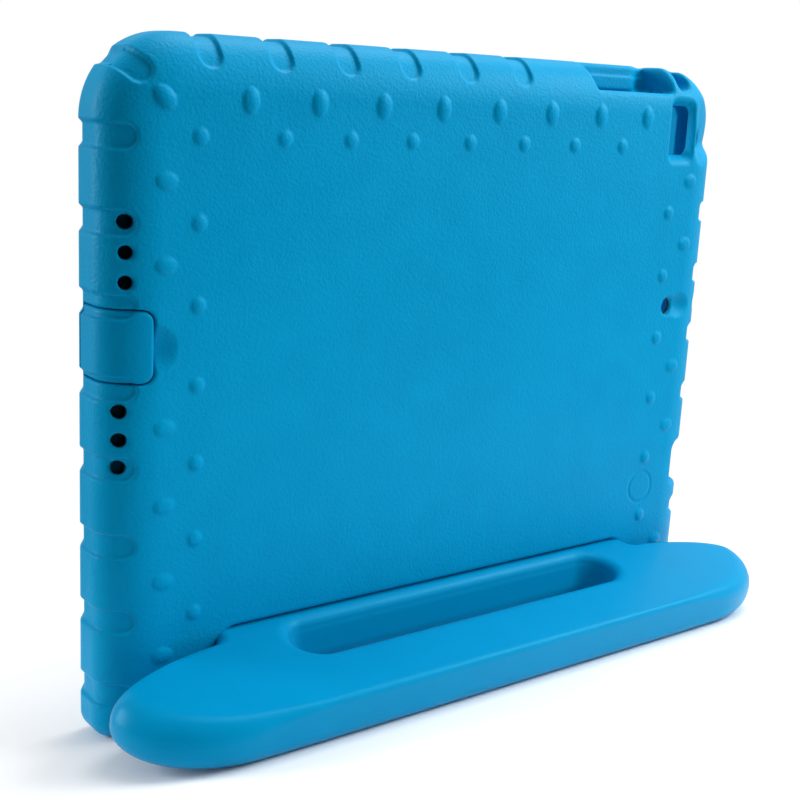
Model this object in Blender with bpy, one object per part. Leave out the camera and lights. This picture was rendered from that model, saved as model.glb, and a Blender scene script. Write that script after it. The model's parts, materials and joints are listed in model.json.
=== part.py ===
"""Tablet case of moulded foam with a carry handle that folds out as a stand.

The case stands on its long edge. Its back panel faces -Y and the tablet's screen faces +Y.
The case frame has x along the width, y from the back face to the front, z up from the bottom
edge; the whole frame leans back until its bottom edge and the handle are level on the floor.
The handle frame has its origin on the pivot, -y outwards and z to the handle's top.
"""
import math

import bmesh
import bpy
from mathutils import Matrix, Vector

MM = 0.001

# Case body
CASE_WIDTH = 218.8 * MM
CASE_HEIGHT = 181.5 * MM
CASE_DEPTH = 20.5 * MM
TOP_CORNER = 21.5 * MM
BOTTOM_CORNER = 5.5 * MM
BACK_ROUND = 10.2 * MM
FRONT_ROUND = 5.0 * MM

# Tablet pocket, for a tablet of 203.2 x 134.8 x 7.2 mm
POCKET = (204.0 * MM, 135.6 * MM, 7.8 * MM)
POCKET_CORNER = 8.0 * MM
POCKET_CENTRE_Z = 105.9 * MM
BACK_PANEL = 4.0 * MM
LIP_OVERLAP = 3.5 * MM
LIP_FLARE = 2.5 * MM

# Openings in the rim and the back panel
CAMERA_WINDOW = (83.6 * MM, 93.8 * MM, 155.3 * MM, 169.4 * MM)
SPEAKER_DIAMETER = 3.2 * MM
SPEAKER_PITCH = 7.3 * MM
SPEAKER_FROM_CENTRE = 16.0 * MM
SPEAKER_MOUTH = (-104.9 * MM, 1.5 * MM)
SPEAKER_INNER = (-101.0 * MM, 7.5 * MM)
PORT_SLOT = (11.0 * MM, 5.0 * MM)
NOTCH_ROUND = 1.5 * MM
VOLUME_NOTCH = (49.3 * MM, 84.2 * MM, 172.5 * MM)
VOLUME_DEPTH = 11.0 * MM
CORNER_POCKET = (87.0 * MM, 93.2 * MM, 174.6 * MM)
CORNER_DEPTH = 10.5 * MM
POWER_NOTCH = (96.0 * MM, 152.4 * MM, 172.0 * MM)
POWER_STEP = 2.0 * MM
POWER_SLOPE = 0.66
AUDIO_NOTCH = (42.5 * MM, 57.5 * MM)
AUDIO_DEPTH = 11.6 * MM
MIC_DIAMETER = 4.0 * MM

# Port flap
FLAP_HEIGHT = 18.2 * MM
FLAP_THICKNESS = 3.0 * MM
FLAP_REACH = 12.5 * MM
FLAP_HINGE_Y = 16.5 * MM

# Recess for the handle's tongue, and the pivot in it
PIVOT_Y = 13.0 * MM
PIVOT_Z = 13.8 * MM
RECESS_HALF = 78.5 * MM
RECESS_TOP = 27.5 * MM
RECESS_CORNER = 7.0 * MM

# Handle: distances along it are from the pivot, heights are above the pivot's axis
HANDLE_DROOP = math.radians(9.1)
HANDLE_HALF = 115.9 * MM
HANDLE_TOP = 14.9 * MM
HANDLE_THICKNESS = 14.3 * MM
HANDLE_REACH = 50.4 * MM
HANDLE_ROUND = 5.0 * MM
HANDLE_OUTER_CORNER = (30.0 * MM, 21.5 * MM)
HANDLE_INNER_CORNER = (33.0 * MM, 14.9 * MM)
SHOULDER = 14.0 * MM
HUB_RADIUS = 7.2 * MM
HUB_DRAW = 0.35
TONGUE_HEEL = 8.8 * MM
TONGUE_OVERLAP = 8.0 * MM
HAND_SLOT = (120.0 * MM, 15.0 * MM)
HAND_SLOT_START = 14.2 * MM

# Pivot pins and bushes
PIN_RADIUS = 2.5 * MM
PIN_LENGTH = 22.0 * MM
COLLAR_RADIUS = 4.0 * MM
COLLAR_LENGTH = 1.5 * MM
BUSH_RADIUS = 4.2 * MM
BUSH_BORE = 2.62 * MM
BUSH_LENGTH = 12.0 * MM
FLANGE_RADIUS = 6.5 * MM
FLANGE_LENGTH = 1.5 * MM

GAP = 0.3 * MM
SIDE_GAP = 0.6 * MM
COVERED = 0.05 * MM
OVERCUT = 10.0 * MM
ARC_STEPS = 7
CORNER_STEPS = 4
ROUND_STEPS = 5
CIRCLE_STEPS = 32
HOLE_STEPS = 16


def clear_scene():
    for obj in list(bpy.data.objects):
        bpy.data.objects.remove(obj, do_unlink=True)


def make_material(name, colour, roughness):
    material = bpy.data.materials.new(name)
    material.use_nodes = True
    shader = material.node_tree.nodes["Principled BSDF"]
    shader.inputs["Base Color"].default_value = (*colour, 1.0)
    shader.inputs["Roughness"].default_value = roughness
    return material


def mesh_object(name, verts, faces):
    """One object from points and faces, with all faces turned outwards."""
    mesh = bpy.data.meshes.new(name)
    mesh.from_pydata([tuple(v) for v in verts], [], faces)
    builder = bmesh.new()
    builder.from_mesh(mesh)
    bmesh.ops.recalc_face_normals(builder, faces=builder.faces)
    builder.to_mesh(mesh)
    builder.free()
    obj = bpy.data.objects.new(name, mesh)
    bpy.context.collection.objects.link(obj)
    return obj


def loft(name, rings):
    """A closed solid through rings of equal length, capped at both ends."""
    count = len(rings[0])
    verts = [point for ring in rings for point in ring]
    faces = [tuple(range(count)), tuple(range(len(verts) - count, len(verts)))]
    for level in range(len(rings) - 1):
        for i in range(count):
            j = (i + 1) % count
            low, high = level * count, (level + 1) * count
            faces.append((low + i, low + j, high + j, high + i))
    return mesh_object(name, verts, faces)


def arc(centre, radius, start, end, steps):
    """Points on an arc in degrees, both ends included."""
    points = []
    for i in range(steps + 1):
        angle = math.radians(start + (end - start) * i / steps)
        points.append((centre[0] + radius * math.cos(angle), centre[1] + radius * math.sin(angle)))
    return points


def rounded_rectangle(half_width, low, high, low_radius, high_radius, steps=ARC_STEPS):
    """Outline centred on the first axis, from low to high on the second."""
    points = []
    right_low = (half_width - low_radius, low + low_radius)
    right_high = (half_width - high_radius, high - high_radius)
    points += arc(right_low, low_radius, -90, 0, steps)
    points += arc(right_high, high_radius, 0, 90, steps)
    points += arc((-right_high[0], right_high[1]), high_radius, 90, 180, steps)
    points += arc((-right_low[0], right_low[1]), low_radius, 180, 270, steps)
    return points


def prism_y(name, outline, y_low, y_high):
    """Outline in x and z, extruded along y."""
    return loft(name, [[(x, y, z) for x, z in outline] for y in (y_low, y_high)])


def prism_x(name, outline, x_low, x_high):
    """Outline in y and z, extruded along x."""
    return loft(name, [[(x, y, z) for y, z in outline] for x in (x_low, x_high)])


def prism_z(name, outline, z_low, z_high):
    """Outline in x and y, extruded along z."""
    return loft(name, [[(x, y, z) for x, y in outline] for z in (z_low, z_high)])


def turned_x(name, centre, profile, steps=CIRCLE_STEPS):
    """A round solid along x through (y, z) = centre, from (x, radius) pairs."""
    rings = []
    for x, radius in profile:
        angles = [2 * math.pi * i / steps for i in range(steps)]
        rings.append([(x, centre[0] + radius * math.cos(a), centre[1] + radius * math.sin(a))
                      for a in angles])
    return loft(name, rings)


def rod(name, start, end, radius, steps=HOLE_STEPS):
    """A straight round solid between two points."""
    start, end = Vector(start), Vector(end)
    along = (end - start).normalized()
    side = along.orthogonal().normalized()
    other = along.cross(side)
    rings = []
    for centre in (start, end):
        rings.append([centre + radius * (math.cos(a) * side + math.sin(a) * other)
                      for a in (2 * math.pi * i / steps for i in range(steps))])
    return loft(name, rings)


def bake(obj):
    """Replace the object's mesh by its evaluated one, so that modifiers don't pile up."""
    graph = bpy.context.evaluated_depsgraph_get()
    mesh = bpy.data.meshes.new_from_object(obj.evaluated_get(graph))
    obj.modifiers.clear()
    obj.data = mesh


def combine(target, tool, operation="DIFFERENCE"):
    """Cut the tool from the target or join it, and remove the tool."""
    modifier = target.modifiers.new(operation.lower(), "BOOLEAN")
    modifier.operation = operation
    modifier.solver = "EXACT"
    modifier.object = tool
    bake(target)
    bpy.data.objects.remove(tool, do_unlink=True)


def case_body(name, skin=0.0):
    """The case's rounded outer solid, or the same solid drawn in by skin on every side."""
    rings = []
    back = max(BACK_ROUND - skin, 1 * MM)
    front = max(FRONT_ROUND - skin, 1 * MM)
    levels = [(back * (1 - math.cos(a)), back * (1 - math.sin(a)))
              for a in (math.pi / 2 * i / ROUND_STEPS for i in range(ROUND_STEPS + 1))]
    depth = CASE_DEPTH - 2 * skin
    levels += [(depth - front * (1 - math.cos(a)), front * (1 - math.sin(a)))
               for a in (math.pi / 2 * i / ROUND_STEPS for i in range(ROUND_STEPS, -1, -1))]
    least = 1 * MM
    for y, inset in levels:
        drawn_in = inset + skin
        outline = rounded_rectangle(CASE_WIDTH / 2 - drawn_in, drawn_in, CASE_HEIGHT - drawn_in,
                                    max(BOTTOM_CORNER - drawn_in, least),
                                    max(TOP_CORNER - drawn_in, least))
        rings.append([(x, y + skin, z) for x, z in outline])
    return loft(name, rings)


def pocket_tool():
    """The tablet's space, and the screen opening that flares towards the front."""
    low = POCKET_CENTRE_Z - POCKET[1] / 2
    high = POCKET_CENTRE_Z + POCKET[1] / 2
    pocket = prism_y("pocket", rounded_rectangle(POCKET[0] / 2, low, high, POCKET_CORNER,
                                                 POCKET_CORNER),
                     BACK_PANEL, BACK_PANEL + POCKET[2])
    rings = []
    for y, inset in ((BACK_PANEL + POCKET[2] / 2, LIP_OVERLAP),
                     (BACK_PANEL + POCKET[2] + LIP_FLARE, LIP_OVERLAP),
                     (CASE_DEPTH + LIP_FLARE, -LIP_FLARE)):
        outline = rounded_rectangle(POCKET[0] / 2 - inset, low + inset, high - inset,
                                    POCKET_CORNER - inset, POCKET_CORNER - inset)
        rings.append([(x, y, z) for x, z in outline])
    combine(pocket, loft("screen", rings), "UNION")
    return pocket


def rim_slot(name, centre, half_size, side):
    """A slot from the pocket out through the left (-1) or right (+1) rim, in y and z."""
    outline = rounded_rectangle(half_size[0], -half_size[1], half_size[1],
                                min(half_size) * 0.8, min(half_size) * 0.8, 4)
    outline = [(centre[0] + y, centre[1] + z) for y, z in outline]
    inner = POCKET[0] / 2 - 3 * MM
    ends = sorted((side * inner, side * (CASE_WIDTH / 2 + OVERCUT)))
    return prism_x(name, outline, *ends)


def cut_rim_openings(shell):
    mid_y = BACK_PANEL + POCKET[2] / 2
    inner = Vector((*SPEAKER_INNER, 0.0))
    outer = inner + 2 * (Vector((*SPEAKER_MOUTH, 0.0)) - inner)
    for side in (-1, 1):
        for i in range(3):
            up = Vector((0, 0, POCKET_CENTRE_Z + side * (SPEAKER_FROM_CENTRE + i * SPEAKER_PITCH)))
            combine(shell, rod("speaker", outer + up, inner + up, SPEAKER_DIAMETER / 2))
    combine(shell, rim_slot("port", (mid_y, POCKET_CENTRE_Z),
                            (PORT_SLOT[1] / 2, PORT_SLOT[0] / 2), -1))


def cut_rim_notches(shell):
    """Notches cut from the back face: volume, corner pocket, power and headphone plug."""
    over = CASE_HEIGHT + OVERCUT
    for name, (left, right, low), depth in (("volume", VOLUME_NOTCH, VOLUME_DEPTH),
                                            ("corner", CORNER_POCKET, CORNER_DEPTH)):
        outline = rounded_rectangle((right - left) / 2, low, over, NOTCH_ROUND, NOTCH_ROUND, 3)
        outline = [(x + (left + right) / 2, z) for x, z in outline]
        combine(shell, prism_y(name, outline, -OVERCUT, depth))
    start, low, high = POWER_NOTCH
    outer = CASE_WIDTH / 2 + OVERCUT
    scoop = [(start, -OVERCUT), (start, POWER_STEP),
             (outer, POWER_STEP + POWER_SLOPE * (outer - start)), (outer, -OVERCUT)]
    combine(shell, prism_z("power", scoop, low, high))
    low, high = AUDIO_NOTCH
    half = (high - low) / 2
    inner = POCKET[0] / 2 - 2 * MM
    notch = rounded_rectangle((outer - inner) / 2, -half, half, NOTCH_ROUND, NOTCH_ROUND, 3)
    notch = [(x + (inner + outer) / 2, z + (low + high) / 2) for x, z in notch]
    combine(shell, prism_y("audio", notch, -OVERCUT, AUDIO_DEPTH))


def cut_back_openings(shell):
    left, right, low, high = CAMERA_WINDOW
    window = rounded_rectangle((right - left) / 2, low, high, 2.4 * MM, 2.4 * MM, 4)
    window = [(x + (left + right) / 2, z) for x, z in window]
    combine(shell, prism_y("camera", window, -OVERCUT, BACK_PANEL + 1 * MM))
    mic = arc((CASE_WIDTH / 2 - 20.5 * MM, POCKET_CENTRE_Z), MIC_DIAMETER / 2,
              0, 360 * (1 - 1 / HOLE_STEPS), HOLE_STEPS - 1)
    combine(shell, prism_y("mic", mic, -OVERCUT, BACK_PANEL + 1 * MM))


def recess_tool():
    """The tongue's recess: open at the back and below, with a skirt over the hub in front."""
    outline = rounded_rectangle(RECESS_HALF, -OVERCUT, RECESS_TOP, RECESS_CORNER, RECESS_CORNER,
                                CORNER_STEPS)
    recess = prism_y("recess", outline, -OVERCUT, CASE_DEPTH + OVERCUT)
    clear = HUB_RADIUS + SIDE_GAP
    skirt = arc((PIVOT_Y, PIVOT_Z), clear, 100, 0, 8)
    skirt += [(PIVOT_Y + clear, -2 * OVERCUT), (-2 * OVERCUT, -2 * OVERCUT)]
    skirt += [(-2 * OVERCUT, RECESS_TOP + OVERCUT), (skirt[0][0], RECESS_TOP + OVERCUT)]
    half = RECESS_HALF + OVERCUT
    combine(recess, prism_x("skirt", skirt, -half, half), "INTERSECT")
    return recess


def cut_handle_recess(shell):
    combine(shell, recess_tool())
    for side in (-1, 1):
        start = RECESS_HALF - OVERCUT
        mouth = RECESS_HALF + FLANGE_LENGTH + GAP
        end = RECESS_HALF + BUSH_LENGTH + GAP
        profile = [(side * x, r + GAP) for x, r in ((start, FLANGE_RADIUS), (mouth, FLANGE_RADIUS),
                                                    (mouth, BUSH_RADIUS), (end, BUSH_RADIUS))]
        combine(shell, turned_x("bush_seat", (PIVOT_Y, PIVOT_Z), profile))


def flap_block(name, margin):
    """The block of space that the port flap fills, grown by margin."""
    low = POCKET_CENTRE_Z - FLAP_HEIGHT / 2 - margin
    high = POCKET_CENTRE_Z + FLAP_HEIGHT / 2 + margin
    x_free = -CASE_WIDTH / 2 + FLAP_REACH + margin
    radius = 3 * MM
    outline = [(-CASE_WIDTH / 2 - OVERCUT, low)]
    outline += arc((x_free - radius, low + radius), radius, -90, 0, 3)
    outline += arc((x_free - radius, high - radius), radius, 0, 90, 3)
    outline += [(-CASE_WIDTH / 2 - OVERCUT, high)]
    return prism_y(name, outline, -OVERCUT, FLAP_HINGE_Y + margin)


def build_shell(foam):
    shell = case_body("shell")
    combine(shell, pocket_tool())
    flap_space = flap_block("flap_space", GAP)
    combine(flap_space, case_body("core", FLAP_THICKNESS + GAP))
    combine(shell, flap_space)
    cut_rim_openings(shell)
    cut_back_openings(shell)
    cut_rim_notches(shell)
    cut_handle_recess(shell)
    shell.data.materials.append(foam)
    return shell


def build_flap(foam):
    """The flap, with its origin on its living hinge at the front edge of the left side."""
    flap = flap_block("port_flap", 0.0)
    combine(flap, case_body("outside"), "INTERSECT")
    combine(flap, case_body("core", FLAP_THICKNESS))
    hinge = Vector((-CASE_WIDTH / 2, FLAP_HINGE_Y, POCKET_CENTRE_Z))
    flap.data.transform(Matrix.Translation(-hinge))
    flap.location = hinge
    flap.data.materials.append(foam)
    return flap


def handle_plan():
    """Half of the handle's plan as (x, distance from the pivot), from its shoulder to its tip."""
    half = [(RECESS_HALF, SHOULDER)]
    for (across, along), s, low, high in ((HANDLE_INNER_CORNER, SHOULDER, -90, 0),
                                          (HANDLE_OUTER_CORNER, HANDLE_REACH, 15, 90)):
        centre_s = s + along if low < 0 else s - along
        corner = arc((0.0, 0.0), 1.0, low, high, CORNER_STEPS if low < 0 else ARC_STEPS)
        half += [(HANDLE_HALF - across + across * u, centre_s + along * v) for u, v in corner]
    return half


def handle_slab():
    """The wide part of the handle, with every edge rounded."""
    half = handle_plan()
    outline = [(x, -s) for x, s in half] + [(-x, -s) for x, s in reversed(half)]
    slab = prism_z("handle", outline, HANDLE_TOP - HANDLE_THICKNESS, HANDLE_TOP)
    bevel = slab.modifiers.new("edge", "BEVEL")
    bevel.width = HANDLE_ROUND
    bevel.segments = 3
    bevel.limit_method = "ANGLE"
    bevel.angle_limit = math.radians(60)
    bake(slab)
    return slab


def tongue_section(drop):
    """The tongue's section in y and z, rounded about the pivot, with its top lowered by drop."""
    reach = SHOULDER + TONGUE_OVERLAP
    bottom = HANDLE_TOP - HANDLE_THICKNESS + COVERED
    top = HANDLE_TOP - COVERED - drop
    radius = HUB_RADIUS - HUB_DRAW * drop
    meets_bottom = -180 - math.degrees(math.asin(bottom / radius))
    section = [(-reach, bottom), (-reach, top), (-TONGUE_HEEL, top)]
    return section + arc((0.0, 0.0), radius, 90, meets_bottom, 16)


def handle_tongue():
    """The tongue that enters the recess, with ends rounded like the recess's corners."""
    half = RECESS_HALF - SIDE_GAP
    edge = RECESS_CORNER - SIDE_GAP
    stations = []
    for i in range(4):
        angle = math.pi / 2 * i / 3
        stations.append((half - edge * (1 - math.sin(angle)), edge * (1 - math.cos(angle))))
    stations = [(-x, drop) for x, drop in reversed(stations)] + stations
    return loft("tongue", [[(x, y, z) for y, z in tongue_section(drop)] for x, drop in stations])


def build_handle(foam):
    handle = handle_slab()
    combine(handle, handle_tongue(), "UNION")
    length, width = HAND_SLOT
    middle = -(HAND_SLOT_START + width / 2)
    ends = length / 2 - width / 2
    slot = arc((ends, middle), width / 2, -90, 90, 8) + arc((-ends, middle), width / 2, 90, 270, 8)
    combine(handle, prism_z("hand_slot", slot, -OVERCUT * 2, OVERCUT * 2))
    for side in (-1, 1):
        inner = RECESS_HALF - PIN_LENGTH / 2 - GAP
        mouth = RECESS_HALF - COLLAR_LENGTH - SIDE_GAP - GAP
        outer = RECESS_HALF + OVERCUT
        profile = [(side * x, r + GAP) for x, r in ((inner, PIN_RADIUS), (mouth, PIN_RADIUS),
                                                    (mouth, COLLAR_RADIUS), (outer, COLLAR_RADIUS))]
        combine(handle, turned_x("pin_seat", (0.0, 0.0), profile))
    handle.data.materials.append(foam)
    return handle


def build_pin(name, side, plastic):
    """A stepped pin: fast in the tongue, with a collar, and turning in the bush."""
    collar_in = RECESS_HALF - COLLAR_LENGTH - SIDE_GAP
    collar_out = RECESS_HALF - SIDE_GAP
    profile = [(RECESS_HALF - PIN_LENGTH / 2, PIN_RADIUS), (collar_in, PIN_RADIUS),
               (collar_in, COLLAR_RADIUS), (collar_out, COLLAR_RADIUS),
               (collar_out, PIN_RADIUS), (RECESS_HALF + PIN_LENGTH / 2, PIN_RADIUS)]
    pin = turned_x(name, (0.0, 0.0), [(side * x, r) for x, r in profile])
    pin.data.materials.append(plastic)
    return pin


def build_bush(name, side, plastic):
    """A flanged sleeve in the ear of the case, closed at its far end."""
    profile = [(RECESS_HALF, FLANGE_RADIUS), (RECESS_HALF + FLANGE_LENGTH, FLANGE_RADIUS),
               (RECESS_HALF + FLANGE_LENGTH, BUSH_RADIUS),
               (RECESS_HALF + BUSH_LENGTH, BUSH_RADIUS)]
    bush = turned_x(name, (PIVOT_Y, PIVOT_Z), [(side * x, r) for x, r in profile])
    bore = [(side * (RECESS_HALF - OVERCUT), BUSH_BORE), (side * (RECESS_HALF + BUSH_LENGTH
                                                                  - 0.7 * MM), BUSH_BORE)]
    combine(bush, turned_x("bore", (PIVOT_Y, PIVOT_Z), bore))
    bush.data.materials.append(plastic)
    return bush


def lean():
    """Angle by which the case leans back, resting on its bottom edge and on the handle.

    Both rest on rounded edges, so the floor is the common tangent of two circles.
    """
    along = HANDLE_REACH - HANDLE_ROUND
    above = HANDLE_TOP - HANDLE_THICKNESS + HANDLE_ROUND
    handle_y = PIVOT_Y - along * math.cos(HANDLE_DROOP) - above * math.sin(HANDLE_DROOP)
    handle_z = PIVOT_Z - along * math.sin(HANDLE_DROOP) + above * math.cos(HANDLE_DROOP)
    dy, dz = BACK_ROUND - handle_y, BACK_ROUND - handle_z
    return math.asin((BACK_ROUND - HANDLE_ROUND) / math.hypot(dy, dz)) - math.atan2(dz, dy)


def make_empty(name, parent, location, turn):
    empty = bpy.data.objects.new(name, None)
    bpy.context.collection.objects.link(empty)
    empty.parent = parent
    empty.location = location
    empty.rotation_euler = (turn, 0.0, 0.0)
    return empty


def centre_on_floor(frame):
    """Move the frame so that the object's box stands on z = 0, centred on x = y = 0."""
    bpy.context.view_layer.update()
    corners = [obj.matrix_world @ vertex.co for obj in bpy.data.objects if obj.type == "MESH"
               for vertex in obj.data.vertices]
    low = [min(c[axis] for c in corners) for axis in range(3)]
    high = [max(c[axis] for c in corners) for axis in range(3)]
    frame.location -= Vector(((low[0] + high[0]) / 2, (low[1] + high[1]) / 2, low[2]))


def main():
    clear_scene()
    foam = make_material("blue_foam", (0.0, 0.30, 0.60), 0.55)
    flap_foam = make_material("blue_foam_flap", (0.0, 0.30, 0.60), 0.55)
    handle_foam = make_material("blue_foam_handle", (0.0, 0.32, 0.66), 0.5)
    pin_plastic = make_material("pin_plastic", (0.05, 0.05, 0.055), 0.4)
    bush_plastic = make_material("bush_plastic", (0.75, 0.75, 0.72), 0.4)

    case_frame = make_empty("case_frame", None, (0, 0, 0), lean())
    pivot = make_empty("handle_pivot", case_frame, (0, PIVOT_Y, PIVOT_Z), HANDLE_DROOP)

    for piece in (build_shell(foam), build_flap(flap_foam)):
        piece.parent = case_frame
    build_handle(handle_foam).parent = pivot
    for side, word in ((-1, "left"), (1, "right")):
        build_pin("hinge_pin_" + word, side, pin_plastic).parent = pivot
        build_bush("hinge_bush_" + word, side, bush_plastic).parent = case_frame
    centre_on_floor(case_frame)


main()
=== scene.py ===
"""Looks of a moulded foam tablet case with a carry handle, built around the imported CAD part.

Every foam piece is written as a signed distance, negative inside the foam, and skinned with a
smooth mesh. Distances are in millimetres. The case frame has x across the width, y from the back
face to the front and z up from the bottom edge. The handle frame has its origin on the pivot,
x across, s outwards from the pivot and h towards the handle's top.
"""
import json
import math

import bpy
import numpy as np
from mathutils import Matrix, Vector


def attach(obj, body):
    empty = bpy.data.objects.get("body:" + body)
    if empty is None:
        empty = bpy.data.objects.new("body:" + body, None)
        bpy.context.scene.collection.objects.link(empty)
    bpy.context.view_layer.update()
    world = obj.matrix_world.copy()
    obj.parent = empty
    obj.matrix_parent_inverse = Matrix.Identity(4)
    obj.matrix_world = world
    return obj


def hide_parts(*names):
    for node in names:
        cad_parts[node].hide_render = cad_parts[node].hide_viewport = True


MM = 0.001

# Case body
CASE_WIDTH = 218.8
CASE_HEIGHT = 181.5
CASE_DEPTH = 20.5
TOP_CORNER = 21.5
BOTTOM_CORNER = 5.5
BACK_ROUND = 10.2
BACK_ROUND_ACROSS = 14.5
FRONT_ROUND = 5.0

# Tablet pocket
POCKET = (204.0, 135.6, 7.8)
POCKET_CORNER = 8.0
POCKET_CENTRE_Z = 105.9
POCKET_BACK_ROUND = 5.0
BACK_PANEL = 4.0
LIP_OVERLAP = 3.5
LIP_FLARE = 2.5

# Grooves over the rim and the two rows of bumps, all on one pitch
PITCH = 20.4
ROW_Z = 136.2
GROOVE_HALF = 3.1
GROOVE_LENGTH = 8.2
GROOVE_DEPTH = 0.95
GROOVE_FRONT = 3.0
GROOVE_SHOULDER = 0.8
CORNER_CENTRE = (CASE_WIDTH / 2 - TOP_CORNER, CASE_HEIGHT - TOP_CORNER)
INNER_BUMP = (2.1, 2.1, 0.7)
OUTER_BUMP = (3.4, 2.4, 0.9)
SIDE_BUMP = (3.0, 2.2, 0.6)
INNER_X = 85.2
INNER_Z = 157.0
OUTER_X = 94.2
OUTER_Z = 166.0

# Openings
SPEAKER_RADIUS = 1.6
SPEAKER_PITCH = 7.3
SPEAKER_FROM_CENTRE = 16.0
SPEAKER_MOUTH = (-104.35, 1.6)
SPEAKER_INNER = (-103.95, 5.2)
SPEAKER_SHIFT = 0.7
CAMERA_HOLE = (83.6, 93.8, 155.3, 169.4)
CAMERA_FLARE = 0.72
POWER_CUT = (96.0, 152.4, 172.0)
POWER_SLOPE = 0.54
VOLUME_SLOT = (50.3, 84.2, 173.5)
VOLUME_DEPTH = 11.0
VOLUME_SLANT = 0.3
VOLUME_WELL = (5.0, 10.0)
VOLUME_LEDGE = (4.2, 0.7, 0.35)
CORNER_POCKET = (87.0, 93.2, 174.6)
CORNER_POCKET_DEPTH = 12.0
AUDIO_SLOT = (42.5, 57.5, 11.6)
PORT_HOLE = (5.0, 11.0, 2.0)
MIC = (89.5, 105.6)
MIC_RADIUS = 2.9
MIC_SCOOP = (94.4, 105.6, 5.6, 4.4, 1.9)
RING = (84.0, 44.3, 5.3)
RING_DEPTH = 0.28
NAIL_SCOOP = (-97.6, 105.4, 7.2, 6.6, 2.2)

# Port flap
FLAP_HEIGHT = 18.2
FLAP_THICKNESS = 3.0
FLAP_REACH = 12.5
FLAP_HINGE_Y = 16.5
FLAP_CORNER = 3.0

# Handle, its recess and its pivot
PIVOT = (13.0, 13.8)
RECESS_HALF = 78.5
RECESS_TOP = 27.5
RECESS_CORNER = 7.0
HANDLE_HALF = 115.9
HANDLE_TOP = 14.9
HANDLE_THICKNESS = 14.3
HANDLE_REACH = 50.4
HANDLE_OUTER_CORNER = (30.0, 21.5)
HANDLE_INNER_CORNER = (33.0, 14.9)
HANDLE_ROUND = 5.0
HANDLE_TOP_ROUND = 1.6
HANDLE_TIP_ROUND = 7.6
HANDLE_TIP = (65.0, 112.0)
SHOULDER = 14.0
HUB_RADIUS = 7.2
TONGUE_HEEL = 8.8
TONGUE_OVERLAP = 8.0
HAND_SLOT = (120.0, 15.0)
HAND_SLOT_DRAFT = 0.3
HAND_SLOT_START = 14.2
HAND_SLOT_ROUND = 4.5
TONGUE_FILLET = 4.5
PIN_SEAT = (2.8, 11.3)
COLLAR_SEAT = (4.3, 2.4)
BUSH_SEAT = (4.5, 12.3)
FLANGE_SEAT = (6.8, 1.8)

GAP = 0.3
SIDE_GAP = 0.6
VOXEL = 0.5
FAR = 60.0


# ---- distance helpers ----------------------------------------------------------------------

def cut_soft(a, b, radius):
    """Intersection of two solids, with its edge rounded off over about the radius."""
    near = np.maximum(radius - np.abs(a - b), 0.0) / radius
    return np.maximum(a, b) + near * near * radius / 4


def join_soft(a, b, radius):
    """Union of two solids, with the inner corner between them filled over about the radius."""
    return -cut_soft(-a, -b, radius)


def meet(a, b, radius):
    """Intersection of two half spaces at right angles, its edge an arc of the radius."""
    u, v = a + radius, b + radius
    outside = np.hypot(np.maximum(u, 0.0), np.maximum(v, 0.0))
    return outside + np.minimum(np.maximum(u, v), 0.0) - radius


def meet_oval(a, b, radius_a, radius_b):
    """The same with an elliptic edge, taking radius_a along a and radius_b along b."""
    u, v = np.maximum(a / radius_a + 1.0, 0.0), np.maximum(b / radius_b + 1.0, 0.0)
    reach = np.hypot(u, v)
    slope = np.maximum(np.hypot(u / radius_a, v / radius_b), 1e-9)
    return np.where(reach > 0.0, (reach - 1.0) * reach / slope, np.maximum(a, b))


def box_2d(u, v, u_range, v_range, radius):
    """Distance to a rectangle with rounded corners."""
    mid_u, half_u = sum(u_range) / 2, (u_range[1] - u_range[0]) / 2
    mid_v, half_v = sum(v_range) / 2, (v_range[1] - v_range[0]) / 2
    return meet(np.abs(u - mid_u) - half_u, np.abs(v - mid_v) - half_v, radius)


def ease(low, high, value):
    """0 below low, 1 above high and smooth between them."""
    t = np.clip((value - low) / (high - low), 0.0, 1.0)
    return t * t * (3.0 - 2.0 * t)


def dome(u, v, half_u, half_v, height):
    """Height of a domed bump with a crisp foot."""
    return height * np.maximum(1.0 - (u / half_u) ** 2 - (v / half_v) ** 2, 0.0) ** 0.65


def soft_dish(x, z, dish):
    """Depth of a dish that fades out smoothly, given as its centre, half sizes and depth."""
    mid_x, mid_z, half_x, half_z, deep = dish
    rise = np.maximum(1.0 - ((x - mid_x) / half_x) ** 2 - ((z - mid_z) / half_z) ** 2, 0.0)
    return deep * rise ** 1.6


def arc(centre, radii, start, end, steps=24):
    """Points on an ellipse's arc, angles in degrees."""
    angles = [math.radians(start + (end - start) * i / steps) for i in range(steps + 1)]
    return [(centre[0] + radii[0] * math.cos(a), centre[1] + radii[1] * math.sin(a))
            for a in angles]


def polygon(u, v, points):
    """Signed distance to a closed polygon."""
    u, v = np.broadcast_arrays(u, v)
    nearest = np.full(u.shape, 1e9)
    inside = np.zeros(u.shape, bool)
    for (au, av), (bu, bv) in zip(points, points[1:] + points[:1]):
        du, dv = bu - au, bv - av
        if math.hypot(du, dv) < 1e-6:
            continue
        t = np.clip(((u - au) * du + (v - av) * dv) / (du * du + dv * dv), 0.0, 1.0)
        nearest = np.minimum(nearest, (u - au - t * du) ** 2 + (v - av - t * dv) ** 2)
        if dv:
            crosses = ((av > v) != (bv > v)) & (u < au + (v - av) * du / dv)
            inside ^= crosses
    return np.where(inside, -1.0, 1.0) * np.sqrt(nearest)


# ---- skinning ------------------------------------------------------------------------------

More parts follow.
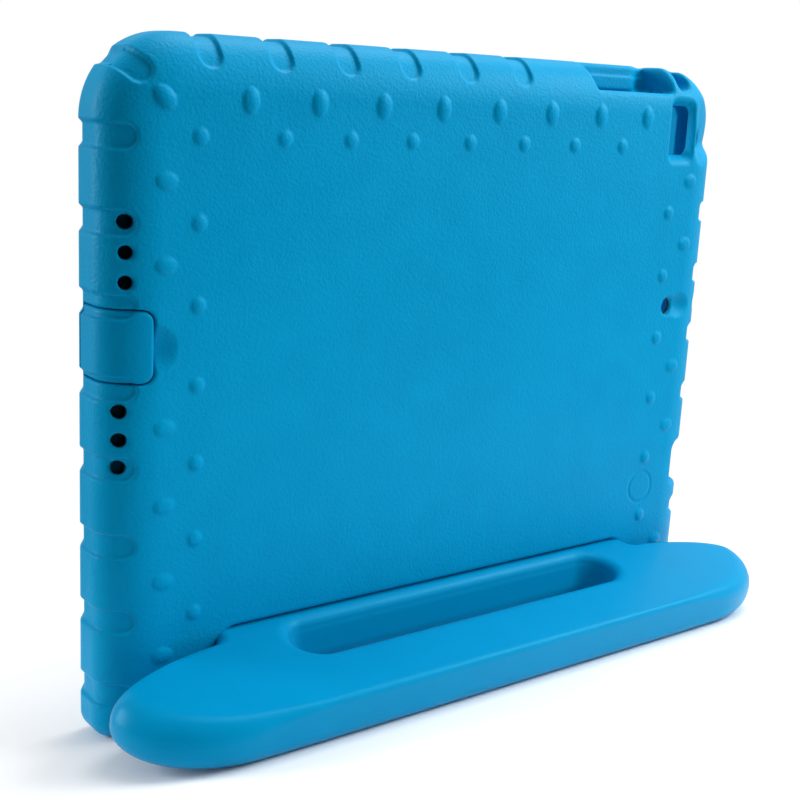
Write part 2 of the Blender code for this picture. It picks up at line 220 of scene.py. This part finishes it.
def skin_cells(field):
    """Cells that the surface passes through, and the mean of its crossings in each."""
    inside = field < 0
    count = np.zeros(tuple(n - 1 for n in field.shape), np.uint8)
    corners = [(i, j, k) for i in (0, 1) for j in (0, 1) for k in (0, 1)]
    shape = count.shape
    for i, j, k in corners:
        count += inside[i:i + shape[0], j:j + shape[1], k:k + shape[2]]
    cells = np.argwhere((count > 0) & (count < 8))
    values = {c: field[cells[:, 0] + c[0], cells[:, 1] + c[1], cells[:, 2] + c[2]]
              for c in corners}
    total = np.zeros((len(cells), 3))
    hits = np.zeros(len(cells))
    for axis in range(3):
        for start in (c for c in corners if c[axis] == 0):
            end = tuple(1 if a == axis else start[a] for a in range(3))
            low, high = values[start], values[end]
            crossed = (low < 0) != (high < 0)
            part = np.where(crossed, low / np.where(crossed, low - high, 1.0), 0.0)
            for a in range(3):
                total[:, a] += crossed * (start[a] + (part if a == axis else 0.0))
            hits += crossed
    return cells, cells + total / hits[:, None], inside, shape


def skin_faces(cells, inside, shape):
    """One quad round every grid edge that the surface crosses."""
    number = np.full(shape, -1, np.int32)
    number[cells[:, 0], cells[:, 1], cells[:, 2]] = np.arange(len(cells))
    faces = []
    for axis in range(3):
        u, v = (axis + 1) % 3, (axis + 2) % 3
        low = [slice(1, -1)] * 3
        high = [slice(1, -1)] * 3
        low[axis], high[axis] = slice(0, -1), slice(1, None)
        before, after = inside[tuple(low)], inside[tuple(high)]
        edges = np.argwhere(before != after)
        leaving = before[tuple(edges.T)]
        edges[:, u] += 1
        edges[:, v] += 1
        ring = []
        for du, dv in ((-1, -1), (0, -1), (0, 0), (-1, 0)):
            at = edges.copy()
            at[:, u] += du
            at[:, v] += dv
            ring.append(number[at[:, 0], at[:, 1], at[:, 2]])
        quads = np.stack(ring, 1)
        quads[~leaving] = quads[~leaving][:, ::-1]
        faces.append(quads)
    return np.concatenate(faces)


def settle(points, distance, step):
    """Move points onto the surface along its normal."""
    for _ in range(2):
        here = distance(*points.T)
        ahead = [distance(*(points + step * np.eye(3)[a]).T) for a in range(3)]
        slope = (np.stack(ahead, 1) - here[:, None]) / step
        size = np.maximum((slope ** 2).sum(1), 0.25)
        move = -here[:, None] * slope / size[:, None]
        points = points + np.clip(move, -VOXEL / 2, VOXEL / 2)
    return points


def skin(name, distance, low, high, voxel=VOXEL, painted_shade=None):
    """A closed smooth mesh, in millimetres, over a signed distance."""
    axes = [np.arange(a - 1.5 * voxel, b + 2.5 * voxel, voxel) for a, b in zip(low, high)]
    field = distance(axes[0][:, None, None], axes[1][None, :, None], axes[2][None, None, :])
    cells, places, inside, shape = skin_cells(field)
    faces = skin_faces(cells, inside, shape)
    origin = np.array([a[0] for a in axes])
    points = settle(origin + places * voxel, distance, voxel * 0.1)
    mesh = bpy.data.meshes.new(name)
    mesh.vertices.add(len(points))
    mesh.vertices.foreach_set("co", points.astype(np.float32).ravel())
    mesh.loops.add(faces.size)
    mesh.loops.foreach_set("vertex_index", faces.astype(np.int32).ravel())
    mesh.polygons.add(len(faces))
    mesh.polygons.foreach_set("loop_start", np.arange(0, faces.size, 4, dtype=np.int32))
    mesh.update(calc_edges=True)
    mesh.validate()
    mesh.shade_smooth()
    # Optional per-vertex weight for painted shade: how far down inside a hole each point lies.
    if painted_shade:
        shade = mesh.attributes.new("painted_shade", "FLOAT", "POINT")
        shade.data.foreach_set("value", painted_shade(*points.T).astype(np.float32))
    return mesh


# ---- the case's shapes ---------------------------------------------------------------------

def case_outline(x, z):
    """Distance to the case's outline, seen from the back."""
    mid = CASE_HEIGHT / 2
    corner = np.where(z > mid, TOP_CORNER, BOTTOM_CORNER)
    return meet(np.abs(x) - CASE_WIDTH / 2, np.abs(z - mid) - mid, corner)


def plate(edge, y, drawn_in=0.0):
    """The case's rounded plate, or the same plate drawn in on every side."""
    back = meet_oval(edge + drawn_in, drawn_in - y, BACK_ROUND_ACROSS - drawn_in,
                     BACK_ROUND - drawn_in)
    front = meet(edge + drawn_in, y - CASE_DEPTH + drawn_in, max(FRONT_ROUND - drawn_in, 1.0))
    return np.maximum(back, front)


def groove(across, inward, half, length):
    """1 in a groove that starts at the outer edge and has a round end, 0 outside it."""
    reach = np.hypot(across, np.maximum(inward - length + half, 0.0)) - half
    return ease(GROOVE_SHOULDER / 2, -GROOVE_SHOULDER / 2, reach)


def grooves(x, z, edge, length):
    """Depth by which the rim's grooves lower the surface."""
    found = np.zeros(np.broadcast(x, z).shape)
    for row in range(1, -7, -1):
        mask = groove(z - ROW_Z - row * PITCH, -edge, GROOVE_HALF, length)
        sides = (x < 0) if row in (1, -4) else True
        found = np.maximum(found, mask * (sides & (np.abs(x) > CASE_WIDTH / 2 - 20)))
    mask = groove(z - MIC[1], -edge, GROOVE_HALF - 0.4, length * 0.6)
    found = np.maximum(found, mask * (x > CASE_WIDTH / 2 - 20))
    for column in range(-4, 2):
        mask = groove(x - column * PITCH, -edge, GROOVE_HALF, length)
        found = np.maximum(found, mask * (z > CASE_HEIGHT - 20))
    u, v = x + CORNER_CENTRE[0], z - CORNER_CENTRE[1]
    across, along = (u + v) * math.sqrt(0.5), (v - u) * math.sqrt(0.5)
    corner = groove(across, -edge, GROOVE_HALF, length - 1.0)
    return GROOVE_DEPTH * np.maximum(found, corner * (along > 0))


def bump_places():
    """Where the bumps are on the back: x, z, half sizes and height."""
    inner_u, inner_v, inner_h = INNER_BUMP
    long, short, outer_h = OUTER_BUMP
    places = [(PITCH * k, INNER_Z, inner_u, inner_v, inner_h) for k in range(-3, 4)]
    places.append((-INNER_X, INNER_Z, inner_u, inner_v, inner_h))
    for row in range(6):
        z = ROW_Z - PITCH * row
        places += [(side * INNER_X, z, inner_u, inner_v, inner_h) for side in (-1, 1)]
    places += [(PITCH * (k + 0.5), OUTER_Z, short, long, outer_h) for k in range(-4, 4)]
    for row in range(7):
        z = ROW_Z + PITCH * (0.5 - row)
        if row != 2:
            places.append((-OUTER_X, z, *SIDE_BUMP))
        if row not in (2, 5):
            places.append((OUTER_X, z, *SIDE_BUMP))
    return places


def bumps(x, z):
    """Height of the bumps over the back face."""
    height = np.zeros(np.broadcast(x, z).shape)
    for at_x, at_z, half_x, half_z, top in bump_places():
        height = np.maximum(height, dome(x - at_x, z - at_z, half_x, half_z, top))
    u, v = x + OUTER_X + 0.6, z - OUTER_Z
    along, across = (v - u) * math.sqrt(0.5), (v + u) * math.sqrt(0.5)
    long, short, top = OUTER_BUMP
    return np.maximum(height, dome(across, along, short, long, top))


def case_skin(x, y, z):
    """The case's outer surface with its grooves and bumps, before anything is cut."""
    edge = case_outline(x, z)
    ring_x, ring_z, ring_radius = RING
    line = np.abs(np.hypot(x - ring_x, z - ring_z) - ring_radius)
    relief = bumps(x, z) - RING_DEPTH * ease(0.7, 0.1, line)
    relief = relief - soft_dish(x, z, MIC_SCOOP)
    relief = relief - grooves(x, z, edge, GROOVE_LENGTH)
    front = grooves(x, z, edge, GROOVE_FRONT)
    return plate(edge, y) + np.where(y < CASE_DEPTH / 2, -relief, front)


def pocket(x, y, z):
    """The tablet's space and the screen opening in front of it."""
    outline = box_2d(x, z, (-POCKET[0] / 2, POCKET[0] / 2),
                     (POCKET_CENTRE_Z - POCKET[1] / 2, POCKET_CENTRE_Z + POCKET[1] / 2),
                     POCKET_CORNER)
    front = BACK_PANEL + POCKET[2]
    space = np.maximum(meet(outline, BACK_PANEL - y, POCKET_BACK_ROUND), y - front)
    flare = (LIP_OVERLAP + LIP_FLARE) / (CASE_DEPTH - front)
    screen = outline + LIP_OVERLAP - flare * np.maximum(y - front - LIP_FLARE, 0.0)
    screen = np.maximum(screen, front - 1.0 - y)
    return np.minimum(space, screen)


def cylinder_x(x, y, z, x_start, length, radius):
    """Round hole along x about the pivot, on both sides of the case."""
    ends = np.maximum(x_start - np.abs(x), np.abs(x) - x_start - length)
    return np.maximum(np.hypot(y - PIVOT[0], z - PIVOT[1]) - radius, ends)


def recess(x, y, z):
    """The recess for the handle's tongue, with the seats for the bushes in its walls."""
    room = meet(np.abs(x) - RECESS_HALF, z - RECESS_TOP, RECESS_CORNER)
    clear = HUB_RADIUS + SIDE_GAP
    hub = np.hypot(y - PIVOT[0], z - PIVOT[1]) - clear
    below = np.maximum(y - PIVOT[0] - clear, z - PIVOT[1])
    behind = y - PIVOT[0] + clear * math.sin(math.radians(10))
    room = np.maximum(room, np.minimum(np.minimum(hub, below), behind))
    flange = cylinder_x(x, y, z, RECESS_HALF - 2.0, 2.0 + FLANGE_SEAT[1], FLANGE_SEAT[0])
    bush = cylinder_x(x, y, z, RECESS_HALF, BUSH_SEAT[1], BUSH_SEAT[0])
    return np.minimum(room, np.minimum(flange, bush))


def speakers(x, y, z):
    """Six holes, three on each side of the port, and how far down each point is in them."""
    start, end = np.array(SPEAKER_MOUTH), np.array(SPEAKER_INNER)
    length = np.linalg.norm(end - start)
    way = (end - start) / length
    v = y - start[1]
    found = FAR
    for side in (-1, 1):
        u = x - start[0] - side * SPEAKER_SHIFT
        across, along = u * way[1] - v * way[0], u * way[0] + v * way[1]
        for k in range(3):
            at = POCKET_CENTRE_Z + side * (SPEAKER_FROM_CENTRE + k * SPEAKER_PITCH)
            found = np.minimum(found, np.hypot(across, z - at) - SPEAKER_RADIUS)
    return np.maximum(found, np.maximum(along - length, -along - 5.0)), along


def power_cut(x, y, z):
    """Scoop in the rim over the power button, deepest near its lower end."""
    left, low, high = POWER_CUT
    side = box_2d(x, z, (left, left + FAR), (low, high), 4.5)
    shallower = np.clip((z - low - 4.5) / (high - low - 4.5), 0.0, 1.0)
    deep = (2.0 + POWER_SLOPE * (x - left)) * (1.0 - 0.3 * shallower)
    deep = deep * (0.25 + 0.75 * ease(low - 1.0, low + 6.5, z))
    return cut_soft(side, y - deep, 2.5)


def camera_hole(x, y, z):
    """Hole for the camera, flared above and below towards the back face."""
    left, right, low, high = CAMERA_HOLE
    flare = CAMERA_FLARE * np.maximum(BACK_PANEL - y, 0.0)
    mid_x, mid_z = (left + right) / 2, (low + high) / 2
    hole = meet(np.abs(x - mid_x) - (right - left) / 2 - flare * 0.15,
                np.abs(z - mid_z) - (high - low) / 2 - flare, 2.4)
    return np.maximum(hole, y - BACK_PANEL - 2.0)


def microphone(x, y, z):
    """Round hole through the back panel."""
    mic = np.hypot(x - MIC[0], z - MIC[1]) - MIC_RADIUS
    return np.maximum(mic, y - BACK_PANEL - 1.0)


def top_slots(x, y, z):
    """Cut-out over the volume buttons, deeper at its right end, and a pocket in the corner."""
    left, right, low = VOLUME_SLOT
    slant = np.where(x < (left + right) / 2, VOLUME_SLANT * (z - low), 0.0)
    slot = box_2d(x + slant, z, (left, right), (low, low + FAR), 1.4)
    ledge, rise, step = VOLUME_LEDGE
    deep = VOLUME_DEPTH + step * ease(low + ledge, low + ledge + rise, z)
    well, run = VOLUME_WELL
    deep = deep + well * ease(right - 1.0 - run, right - 1.0, x)
    slot = cut_soft(slot, y - deep, 1.5)
    left, right, low = CORNER_POCKET
    corner = box_2d(x, z, (left, right), (low, low + FAR), 2.6)
    return np.minimum(slot, cut_soft(corner, y - CORNER_POCKET_DEPTH, 1.5))


def side_slot(x, y, z):
    """Notch for the headphone plug in the right rim."""
    low, high, depth = AUDIO_SLOT
    wall = box_2d(x, z, (POCKET[0] / 2 - 2.0, FAR * 3), (low, high), 3.0)
    return cut_soft(wall, y - depth, 2.0)


def flap_outline(x, y, z, margin):
    """The block of space that the flap fills, grown by the margin."""
    free = -CASE_WIDTH / 2 + FLAP_REACH + margin
    half = FLAP_HEIGHT / 2 + margin
    side = box_2d(x, z, (-FAR * 4, free), (POCKET_CENTRE_Z - half, POCKET_CENTRE_Z + half),
                  FLAP_CORNER + margin)
    return np.maximum(side, y - FLAP_HINGE_Y - margin)


def port(x, y, z):
    """The port's opening behind the flap."""
    middle = BACK_PANEL + POCKET[2] / 2
    across, along, corner = PORT_HOLE
    hole = box_2d(y, z, (middle - across / 2, middle + across / 2),
                  (POCKET_CENTRE_Z - along / 2, POCKET_CENTRE_Z + along / 2), corner)
    return np.maximum(hole, np.maximum(x + POCKET[0] / 2 - 3.0, -FAR * 4 - x))


def shell_distance(x, y, z):
    """The whole shell."""
    nail = soft_dish(x, z, NAIL_SCOOP)
    solid = case_skin(x, y, z) + np.where(y < CASE_DEPTH / 2, nail, 0.0)
    edge = case_outline(x, z)
    flap_space = np.maximum(flap_outline(x, y, z, GAP), -plate(edge, y, FLAP_THICKNESS + GAP))
    for cut, softness in ((pocket(x, y, z), 0.6), (flap_space, 0.5), (port(x, y, z), 0.6),
                          (power_cut(x, y, z), 2.2), (camera_hole(x, y, z), 1.6),
                          (microphone(x, y, z), 1.0), (top_slots(x, y, z), 1.4),
                          (side_slot(x, y, z), 1.6),
                          (speakers(x, y, z)[0], 1.2), (recess(x, y, z), 1.6)):
        solid = cut_soft(solid, -cut, softness)
    return solid


def painted_hole_shade(x, y, z):
    """Painted shade: 1 down inside the speaker and microphone holes, where next to no light gets;
    the foam's colour is darkened towards black there.
    """
    hole, along = speakers(x, y, z)
    speaker = ease(0.5, 1.4, along) * ease(0.4, 0.1, np.abs(hole))
    mic = ease(1.6, 2.8, y) * ease(0.5, 0.2, np.abs(microphone(x, y, z)))
    return np.maximum(speaker, mic)


def flap_distance(x, y, z):
    """The port flap: the case's skin, cut to the flap's outline and hollow behind."""
    solid = cut_soft(case_skin(x, y, z), flap_outline(x, y, z, 0.0), 1.2)
    core = plate(case_outline(x, z), y, FLAP_THICKNESS)
    return cut_soft(solid, -core, 0.5)


# ---- the handle's shape --------------------------------------------------------------------

def handle_plan():
    """The handle's outline from above, in x and s."""
    inner, outer = HANDLE_INNER_CORNER, HANDLE_OUTER_CORNER
    right = arc((HANDLE_HALF - inner[0], SHOULDER + inner[1]), inner, -90, 0)
    right += arc((HANDLE_HALF - outer[0], HANDLE_REACH - outer[1]), outer, 0, 90)
    return right + [(-x, s) for x, s in reversed(right)]


def tongue_section():
    """The tongue's section in s and h, round about the pivot."""
    bottom = HANDLE_TOP - HANDLE_THICKNESS + GAP
    top = HANDLE_TOP
    reach = SHOULDER + TONGUE_OVERLAP
    meets = math.degrees(math.asin(bottom / HUB_RADIUS))
    hub = arc((0.0, 0.0), (HUB_RADIUS, HUB_RADIUS), 90, 360 + meets, 40)
    return [(reach, bottom), (reach, top), (TONGUE_HEEL, top)] + hub


def handle_distance(x, y, z):
    """The whole handle; y is minus the distance out from the pivot."""
    s, h = -y, z
    bottom = HANDLE_TOP - HANDLE_THICKNESS
    tongue_side = np.abs(x) - RECESS_HALF + SIDE_GAP
    neck = np.maximum(tongue_side, s - 30.0)
    edge = join_soft(polygon(x, s, handle_plan()), neck, TONGUE_FILLET)
    tip = ease(*HANDLE_TIP, np.abs(x))
    over = HANDLE_TOP_ROUND + (HANDLE_TIP_ROUND - HANDLE_TOP_ROUND) * tip
    under = HANDLE_ROUND + 0.8 * tip
    slab = np.maximum(meet(edge, h - HANDLE_TOP, over), meet(edge, bottom - h, under))
    profile = polygon(s, h, tongue_section())
    slab = np.maximum(slab, np.minimum(profile, SHOULDER + 2.0 - s))
    tongue = meet(profile, tongue_side, RECESS_CORNER - SIDE_GAP)
    solid = np.minimum(slab, tongue)
    length, width = HAND_SLOT
    across = np.maximum(np.abs(x) - length / 2 + width / 2, 0.0)
    narrowed = HAND_SLOT_DRAFT * np.maximum(HANDLE_TOP - 3.0 - h, 0.0)
    slot = np.hypot(across, s - HAND_SLOT_START - width / 2) - width / 2 + narrowed
    solid = cut_soft(solid, -slot, HAND_SLOT_ROUND)
    for radius, length in (PIN_SEAT, COLLAR_SEAT):
        ends = np.abs(np.abs(x) - RECESS_HALF) - length
        solid = np.maximum(solid, -np.maximum(np.hypot(y, z) - radius, ends))
    return solid


# ---- materials -----------------------------------------------------------------------------

def new_material(name):
    """A material with its nodes, and a helper that adds one more node."""
    material = bpy.data.materials.new(name)
    material.use_nodes = True
    tree = material.node_tree
    shader = tree.nodes["Principled BSDF"]

    def add(kind, **values):
        node = tree.nodes.new(kind)
        for key, value in values.items():
            if key in node.inputs:
                node.inputs[key].default_value = value
            else:
                setattr(node, key, value)
        return node

    return material, tree.links.new, shader, add


def foam(name, colour, deep, grain, roughness, shine=0.13):
    """Satin moulded foam: pebble grain, faint mottling, a soft sheen, and painted shade that
    darkens the colour inside holes.
    """
    material, link, shader, add = new_material(name)
    place = add("ShaderNodeTexCoord")
    mottle = add("ShaderNodeTexNoise", Scale=90.0, Detail=3.0)
    cloud = add("ShaderNodeTexNoise", Scale=14.0, Detail=2.0)
    for texture in (mottle, cloud):
        link(place.outputs["Object"], texture.inputs["Vector"])
    both = add("ShaderNodeMath", operation="ADD")
    link(mottle.outputs["Fac"], both.inputs[0])
    link(cloud.outputs["Fac"], both.inputs[1])
    ramp = add("ShaderNodeMapRange")
    ramp.inputs["From Min"].default_value = 0.7
    ramp.inputs["From Max"].default_value = 1.3
    link(both.outputs[0], ramp.inputs["Value"])
    mix = add("ShaderNodeMix", data_type="RGBA")
    mix.inputs["A"].default_value = (*deep, 1.0)
    mix.inputs["B"].default_value = (*colour, 1.0)
    link(ramp.outputs["Result"], mix.inputs["Factor"])
    # Painted shade: the colour is darkened to near black where the mesh's weight marks the inside
    # of holes.
    painted_shade = add("ShaderNodeAttribute", attribute_name="painted_shade")
    darker = add("ShaderNodeMix", data_type="RGBA")
    darker.inputs["B"].default_value = (0.0, 0.004, 0.012, 1.0)
    link(mix.outputs["Result"], darker.inputs["A"])
    link(painted_shade.outputs["Fac"], darker.inputs["Factor"])
    link(darker.outputs["Result"], shader.inputs["Base Color"])
    pebble = add("ShaderNodeTexNoise", Scale=1500.0, Detail=2.0, Roughness=0.55)
    cells = add("ShaderNodeTexVoronoi", Scale=1150.0, feature="SMOOTH_F1")
    for texture in (pebble, cells):
        link(place.outputs["Object"], texture.inputs["Vector"])
    height = add("ShaderNodeMath", operation="ADD")
    link(pebble.outputs["Fac"], height.inputs[0])
    link(cells.outputs["Distance"], height.inputs[1])
    bump = add("ShaderNodeBump", Strength=grain, Distance=0.00022)
    link(height.outputs[0], bump.inputs["Height"])
    link(bump.outputs["Normal"], shader.inputs["Normal"])
    rough = add("ShaderNodeMapRange")
    rough.inputs["To Min"].default_value = roughness - 0.05
    rough.inputs["To Max"].default_value = roughness + 0.06
    link(mottle.outputs["Fac"], rough.inputs["Value"])
    link(rough.outputs["Result"], shader.inputs["Roughness"])
    shader.inputs["Specular IOR Level"].default_value = shine
    shader.inputs["Specular Tint"].default_value = (0.08, 0.72, 1.0, 1.0)
    return material


def moulded_plastic(name, colour, roughness):
    """Matt plastic with a faint orange-peel surface."""
    material, link, shader, add = new_material(name)
    place = add("ShaderNodeTexCoord")
    peel = add("ShaderNodeTexNoise", Scale=700.0, Detail=2.0)
    link(place.outputs["Object"], peel.inputs["Vector"])
    bump = add("ShaderNodeBump", Strength=0.2, Distance=0.0001)
    link(peel.outputs["Fac"], bump.inputs["Height"])
    link(bump.outputs["Normal"], shader.inputs["Normal"])
    shade = add("ShaderNodeMix", data_type="RGBA")
    shade.inputs["A"].default_value = (*[0.85 * c for c in colour], 1.0)
    shade.inputs["B"].default_value = (*colour, 1.0)
    link(peel.outputs["Fac"], shade.inputs["Factor"])
    link(shade.outputs["Result"], shader.inputs["Base Color"])
    shader.inputs["Roughness"].default_value = roughness
    return material


def floor_paint():
    """Pale studio floor that melts into the white surroundings away from the object."""
    material, link, shader, add = new_material("studio_floor")
    place = add("ShaderNodeTexCoord")
    cloud = add("ShaderNodeTexNoise", Scale=3.0, Detail=2.0)
    link(place.outputs["Object"], cloud.inputs["Vector"])
    shade = add("ShaderNodeMix", data_type="RGBA")
    shade.inputs["A"].default_value = (0.93, 0.93, 0.935, 1.0)
    shade.inputs["B"].default_value = (0.95, 0.95, 0.95, 1.0)
    link(cloud.outputs["Fac"], shade.inputs["Factor"])
    link(shade.outputs["Result"], shader.inputs["Base Color"])
    shader.inputs["Roughness"].default_value = 0.7
    away = add("ShaderNodeVectorMath", operation="LENGTH")
    link(place.outputs["Object"], away.inputs[0])
    fade = add("ShaderNodeMapRange", interpolation_type="SMOOTHSTEP")
    fade.inputs["From Min"].default_value, fade.inputs["From Max"].default_value = FLOOR_FADE
    fade.inputs["To Min"].default_value = 1.0
    fade.inputs["To Max"].default_value = 0.0
    link(away.outputs["Value"], fade.inputs["Value"])
    link(fade.outputs["Result"], shader.inputs["Alpha"])
    return material


# ---- placing -------------------------------------------------------------------------------

def frames(joints):
    """The case frame's and the handle frame's matrices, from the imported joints."""
    by_name = {joint["name"]: joint for joint in joints}
    axis = by_name["flap_hinge"]["axis"]
    lean = math.atan2(axis[1], -axis[2])
    pivot = Vector(by_name["handle_pivot"]["pos_m"])
    turned = Matrix.Rotation(lean, 4, "X")
    case = Matrix.Translation(pivot) @ turned @ Matrix.Translation((0, *(-MM * p for p in PIVOT)))
    droop = math.radians(90.0 - by_name["handle_pivot"]["range_deg"][1])
    handle = Matrix.Translation(pivot) @ Matrix.Rotation(lean + droop, 4, "X")
    return case, handle


def place(mesh, matrix, material, node, body, slot):
    """Put a mesh made in millimetres into the row frame, in place of its CAD node."""
    mesh.transform(matrix @ Matrix.Scale(MM, 4))
    mesh.update()
    mesh.materials.append(material)
    piece = bpy.data.objects.new(node + "_foam", mesh)
    bpy.context.scene.collection.objects.link(piece)
    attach(piece, body)
    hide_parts(node)
    return piece


def build_foam(case, handle):
    """The three foam pieces."""
    shell_blue = foam("shell_foam", (0.0, 0.31, 0.585), (0.0, 0.285, 0.545), 0.34, 0.42)
    flap_blue = foam("flap_foam", (0.0, 0.30, 0.575), (0.0, 0.275, 0.535), 0.25, 0.42)
    handle_blue = foam("handle_foam", (0.0, 0.272, 0.53), (0.0, 0.257, 0.502), 0.1, 0.33,
                       0.16)
    half = CASE_WIDTH / 2
    # The shell carries painted shade inside its speaker and microphone holes.
    shell = skin("shell_foam", shell_distance, (-half, -1.2, 0), (half, CASE_DEPTH, CASE_HEIGHT),
                 painted_shade=painted_hole_shade)
    place(shell, case, shell_blue, "shell", "case", "shell_foam")
    low = POCKET_CENTRE_Z - FLAP_HEIGHT / 2
    flap = skin("flap_foam", flap_distance, (-half, -1.2, low),
                (-half + FLAP_REACH, FLAP_HINGE_Y, low + FLAP_HEIGHT), VOXEL / 2)
    place(flap, case, flap_blue, "port_flap", "flap", "flap_foam")
    grip = skin("handle_foam", handle_distance, (-HANDLE_HALF, -HANDLE_REACH, -HUB_RADIUS),
                (HANDLE_HALF, HUB_RADIUS, HANDLE_TOP))
    place(grip, handle, handle_blue, "handle", "handle", "handle_foam")


def dress_pivot(nodes):
    """The pivot's pins and bushes keep their CAD shape and get moulded plastic."""
    pin = moulded_plastic("pin_plastic", (0.08, 0.09, 0.1), 0.45)
    bush = moulded_plastic("bush_plastic", (0.75, 0.76, 0.77), 0.5)
    for name, node in nodes.items():
        if name.startswith("hinge_"):
            node.data.materials.clear()
            node.data.materials.append(pin if "pin" in name else bush)


# ---- studio --------------------------------------------------------------------------------

CAMERA_AT = (-0.24294, -0.30031, 0.11912)
CAMERA_TURN = (1.471426, 0.049134, -0.648702)
CAMERA_LENS = 59.21
BRIGHT_SIDE = (0.7, 0.1, 0.7)
WORLD_LIGHT = (0.1, 0.56)
FLOOR_FADE = (0.1, 0.3)
FLOOR_REACH = 6.0
AIM = (0.0, 0.0, 0.09)
WHITE = (1.0, 1.0, 1.0)
PALE_BLUE = (0.92, 0.98, 1.0)
SOFT_BOXES = (
    ("top_box", (0.25, -0.1, 0.9), (0.6, 0.5), 5.0, WHITE),
    ("left_box", (-0.9, 0.55, 0.4), (0.3, 0.7), 8.0, WHITE),
    ("right_box", (0.42, -0.3, 0.38), (0.28, 0.28), 2.0, PALE_BLUE),
    ("back_box", (0.3, -0.34, 0.26), (0.35, 0.35), 0.55, PALE_BLUE),
)


def area_light(name, at, size, power, colour):
    """A soft box at a point, facing the object."""
    light = bpy.data.lights.new(name, "AREA")
    light.shape = "RECTANGLE"
    light.size, light.size_y = size
    light.energy = power
    light.color = colour
    lamp = bpy.data.objects.new(name, light)
    bpy.context.scene.collection.objects.link(lamp)
    lamp.location = at
    lamp.rotation_euler = (Vector(AIM) - Vector(at)).to_track_quat("-Z", "Y").to_euler()


def build_world():
    """White surroundings for the eye; as a light they fade towards the left and the front."""
    world = bpy.data.worlds.new("studio")
    world.use_nodes = True
    tree = world.node_tree
    background = tree.nodes["Background"]
    background.inputs["Color"].default_value = (1.0, 1.0, 1.0, 1.0)
    place = tree.nodes.new("ShaderNodeTexCoord")
    facing = tree.nodes.new("ShaderNodeVectorMath")
    facing.operation = "DOT_PRODUCT"
    facing.inputs[1].default_value = Vector(BRIGHT_SIDE).normalized()
    fade = tree.nodes.new("ShaderNodeMapRange")
    fade.interpolation_type = "SMOOTHSTEP"
    fade.inputs["From Min"].default_value = -1.0
    fade.inputs["To Min"].default_value, fade.inputs["To Max"].default_value = WORLD_LIGHT
    path = tree.nodes.new("ShaderNodeLightPath")
    strength = tree.nodes.new("ShaderNodeMix")
    strength.inputs["B"].default_value = 1.0
    tree.links.new(place.outputs["Generated"], facing.inputs[0])
    tree.links.new(facing.outputs["Value"], fade.inputs["Value"])
    tree.links.new(fade.outputs["Result"], strength.inputs["A"])
    tree.links.new(path.outputs["Is Camera Ray"], strength.inputs["Factor"])
    tree.links.new(strength.outputs["Result"], background.inputs["Strength"])
    bpy.context.scene.world = world


def build_studio():
    """Pale floor, white surroundings, soft boxes and the camera."""
    mesh = bpy.data.meshes.new("studio_floor")
    reach = FLOOR_REACH
    mesh.from_pydata([(-reach, -reach, 0), (reach, -reach, 0), (reach, reach, 0),
                      (-reach, reach, 0)], [], [(0, 1, 2, 3)])
    mesh.materials.append(floor_paint())
    floor = bpy.data.objects.new("studio_floor", mesh)
    bpy.context.scene.collection.objects.link(floor)
    build_world()
    for box in SOFT_BOXES:
        area_light(*box)
    camera = bpy.data.objects.new("camera", bpy.data.cameras.new("camera"))
    bpy.context.scene.collection.objects.link(camera)
    camera.data.lens = CAMERA_LENS
    camera.location = CAMERA_AT
    camera.rotation_euler = CAMERA_TURN
    bpy.context.scene.camera = camera
    bpy.context.scene.view_settings.view_transform = "Standard"


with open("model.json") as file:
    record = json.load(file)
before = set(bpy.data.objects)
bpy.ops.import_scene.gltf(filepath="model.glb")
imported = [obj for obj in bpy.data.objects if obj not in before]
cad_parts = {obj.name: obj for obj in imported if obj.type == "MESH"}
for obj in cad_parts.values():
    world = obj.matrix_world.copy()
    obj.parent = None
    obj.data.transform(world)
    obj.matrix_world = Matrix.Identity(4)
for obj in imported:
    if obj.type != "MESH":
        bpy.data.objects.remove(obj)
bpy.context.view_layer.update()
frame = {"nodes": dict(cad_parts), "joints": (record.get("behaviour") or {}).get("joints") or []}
case_frame, handle_frame = frames(frame["joints"])
build_foam(case_frame, handle_frame)
dress_pivot(frame["nodes"])
build_studio()
